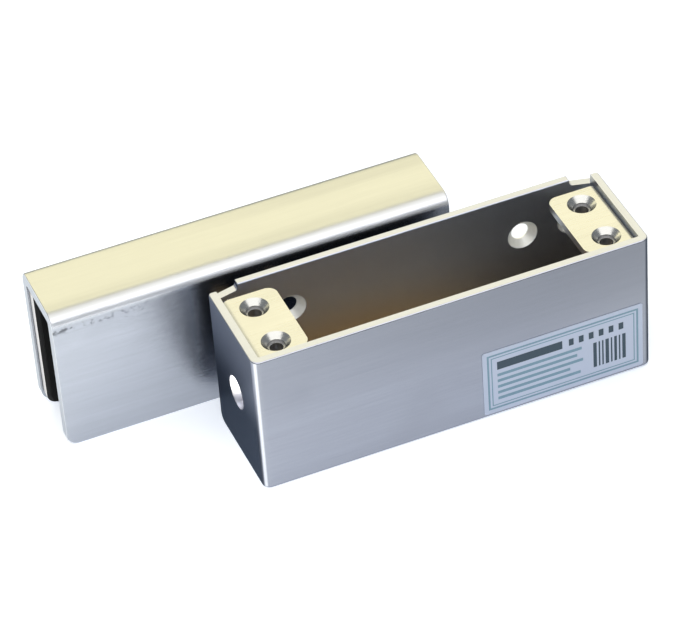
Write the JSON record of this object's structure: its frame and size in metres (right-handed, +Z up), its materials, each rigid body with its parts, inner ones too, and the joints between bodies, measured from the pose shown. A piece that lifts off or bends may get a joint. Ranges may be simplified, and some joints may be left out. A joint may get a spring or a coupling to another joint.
{
  "type": "glass door lock bracket set",
  "caption": "Open-topped steel lock housing with face brackets, and a U-shaped glass clamp with a pressure plate, for a door bolt lock.",
  "frame": {"origin": "on the standing surface, under the middle of the box round both pieces", "axes": "+X along the housing and the clamp, +Y from the housing to the clamp, +Z up out of the housing's mouth"},
  "size_m": [0.1362, 0.0594, 0.0394],
  "materials": {
    "brushed_shell": "stainless sheet brushed lengthwise, satin",
    "bracket_steel": "stainless sheet, fine satin",
    "nut_steel": "plain steel, dull",
    "label_film": null,
    "channel_steel": "stainless sheet brushed lengthwise, satin, bright bends",
    "plate_steel": "mill finish stainless flat bar",
    "pad_rubber": "black rubber, fine ribs",
    "screw_steel": "dark steel screw with rolled thread",
    "ring_steel": "spring steel"
  },
  "bodies": {
    "housing": {"housing_wrap": "brushed_shell", "base_and_back": "brushed_shell", "face_bracket_left": "bracket_steel", "face_bracket_right": "bracket_steel", "weld_nut_left_front": "nut_steel", "weld_nut_left_back": "nut_steel", "weld_nut_right_front": "nut_steel", "weld_nut_right_back": "nut_steel", "rating_label": "label_film"},
    "clamp": {"clamp_channel": "channel_steel", "front_glass_pad": "pad_rubber", "web_glass_pad": "pad_rubber"},
    "pressure": {"pressure_plate": "plate_steel", "plate_glass_pad": "pad_rubber"},
    "screw_left": {"clamp_screw_left": "screw_steel", "screw_ring_left": "ring_steel"},
    "screw_middle": {"clamp_screw_middle": "screw_steel", "screw_ring_middle": "ring_steel"},
    "screw_right": {"clamp_screw_right": "screw_steel", "screw_ring_right": "ring_steel"}
  },
  "joints": [
    {"name": "clamp_slide", "type": "slide", "parent": "housing", "child": "clamp", "axis": [1, 0, 0], "range_m": [-0.07, 0.036]},
    {"name": "plate_slide", "type": "slide", "parent": "clamp", "child": "pressure", "axis": [0, -1, 0], "range_m": [0, 0.003]},
    {"name": "screw_turn_left", "type": "hinge", "parent": "pressure", "child": "screw_left", "pos_m": [-0.05315, 0.02343, 0.017], "axis": [0, 1, 0], "range_deg": [-1355, 0]},
    {"name": "screw_turn_middle", "type": "hinge", "parent": "pressure", "child": "screw_middle", "pos_m": [-0.01785, 0.02343, 0.017], "axis": [0, 1, 0], "range_deg": [-1355, 0]},
    {"name": "screw_turn_right", "type": "hinge", "parent": "pressure", "child": "screw_right", "pos_m": [0.01745, 0.02343, 0.017], "axis": [0, 1, 0], "range_deg": [-1355, 0]}
  ],
  "couplings": [
    {"joint": "screw_turn_left", "follows": "plate_slide", "rad_per_m": -7854},
    {"joint": "screw_turn_middle", "follows": "plate_slide", "rad_per_m": -7854},
    {"joint": "screw_turn_right", "follows": "plate_slide", "rad_per_m": -7854}
  ]
}
